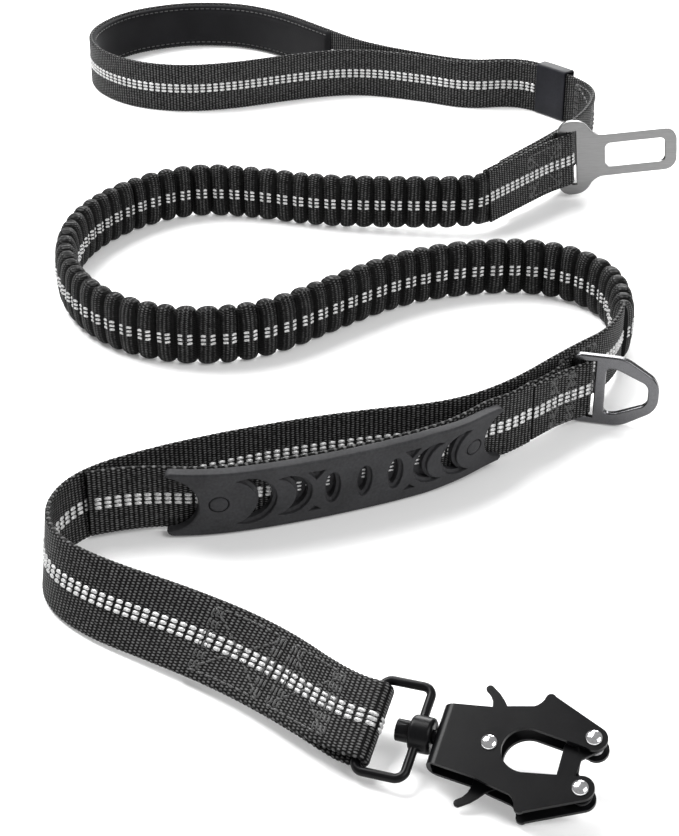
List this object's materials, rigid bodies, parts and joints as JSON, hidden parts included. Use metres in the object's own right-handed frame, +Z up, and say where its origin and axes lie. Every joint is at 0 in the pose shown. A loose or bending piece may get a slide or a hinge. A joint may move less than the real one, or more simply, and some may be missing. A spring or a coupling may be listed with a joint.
{
  "type": "bungee dog leash",
  "caption": "Elastic dog leash lying in an S: padded hand loop, seat-belt tongue, bungee section, D-ring, rubber traffic grip and a locking swivel clip.",
  "frame": {"origin": "middle of the footprint, on the surface the leash lies on", "axes": "+X towards the seat-belt tongue's blade, +Y from the clip to the hand loop, +Z up"},
  "size_m": [0.3233, 0.7197, 0.0422],
  "materials": {
    "webbing": "woven black nylon with a silver reflective stripe",
    "bungee_fabric": "ruched black nylon with a silver reflective stripe",
    "neoprene": "matte dark grey knit",
    "keeper_rubber": "matte",
    "elastic": "matte",
    "brushed_steel": "satin",
    "gunmetal": "dark polished",
    "grip_rubber": "matte moulded",
    "grip_rivet": "matte",
    "black_metal": "satin black",
    "polished_steel": "polished",
    "spring_steel": "plain"
  },
  "bodies": {
    "lead": {"lead_webbing": "webbing", "bungee_sleeve": "bungee_fabric", "bungee_elastic": "elastic", "d_ring_webbing": "webbing", "grip_strap": "webbing", "grip_pad": "grip_rubber", "grip_rivets": "grip_rivet", "grip_washers": "polished_steel"},
    "handle_end": {"handle_webbing": "webbing", "handle_lining": "neoprene", "handle_keeper": "keeper_rubber", "tongue_webbing": "webbing"},
    "tongue": {"seat_belt_tongue": "brushed_steel"},
    "ring": {"d_ring": "gunmetal"},
    "swivel": {"swivel_loop": "black_metal"},
    "clip": {"clip_body": "black_metal", "swivel_pin": "black_metal", "centre_rivet": "polished_steel", "gate_rivets": "polished_steel", "trigger_spring": "spring_steel", "gate_springs": "spring_steel"},
    "upper_trigger": {"trigger_upper": "black_metal"},
    "lower_trigger": {"trigger_lower": "black_metal"},
    "upper_gate": {"gate_upper": "black_metal"},
    "lower_gate": {"gate_lower": "black_metal"}
  },
  "joints": [
    {"name": "bungee_stretch", "type": "slide", "parent": "lead", "child": "handle_end", "axis": [1, 0, 0], "range_m": [0, 0.1], "stiffness_N_per_m": 80, "deforming": ["bungee_sleeve", "bungee_elastic"]},
    {"name": "tongue_swing", "type": "hinge", "parent": "handle_end", "child": "tongue", "pos_m": [0.0993, 0.1158, 0.0217], "axis": [-0.087, -0.0046, 0.9962], "range_deg": [-50, 48]},
    {"name": "d_ring_swing", "type": "hinge", "parent": "lead", "child": "ring", "pos_m": [0.0817, -0.1147, 0.016], "axis": [0, 0, 1], "range_deg": [-53, 45]},
    {"name": "loop_swing", "type": "hinge", "parent": "lead", "child": "swivel", "pos_m": [-0.00584, -0.32086, 0.01028], "axis": [0.317, 0.8715, 0.3743], "range_deg": [-60, 60]},
    {"name": "swivel_spin", "type": "hinge", "parent": "swivel", "child": "clip", "pos_m": [0.00936, -0.32669, 0.01099], "axis": [0.9327, -0.358, 0.0436], "continuous": true},
    {"name": "trigger_upper_squeeze", "type": "hinge", "parent": "clip", "child": "upper_trigger", "pos_m": [0.03066, -0.33567, 0.01385], "axis": [-0.172, -0.3352, 0.9263], "range_deg": [0, 13], "stiffness_Nm_per_rad": 0.03, "springref_deg": -6.88},
    {"name": "trigger_lower_squeeze", "type": "hinge", "parent": "clip", "child": "lower_trigger", "pos_m": [0.03134, -0.33433, 0.01015], "axis": [0.172, 0.3352, -0.9263], "range_deg": [0, 13], "stiffness_Nm_per_rad": 0.03, "springref_deg": -6.88},
    {"name": "gate_upper_swing", "type": "hinge", "parent": "clip", "child": "upper_gate", "pos_m": [0.06196, -0.33862, 0.01719], "axis": [-0.172, -0.3352, 0.9263], "range_deg": [-75, 0]},
    {"name": "gate_lower_swing", "type": "hinge", "parent": "clip", "child": "lower_gate", "pos_m": [0.05675, -0.35314, 0.00946], "axis": [0.172, 0.3352, -0.9263], "range_deg": [-75, 0]}
  ],
  "couplings": [
    {"joint": "gate_upper_swing", "follows": "trigger_upper_squeeze", "ratio": -5.75},
    {"joint": "gate_lower_swing", "follows": "trigger_lower_squeeze", "ratio": -5.75}
  ]
}
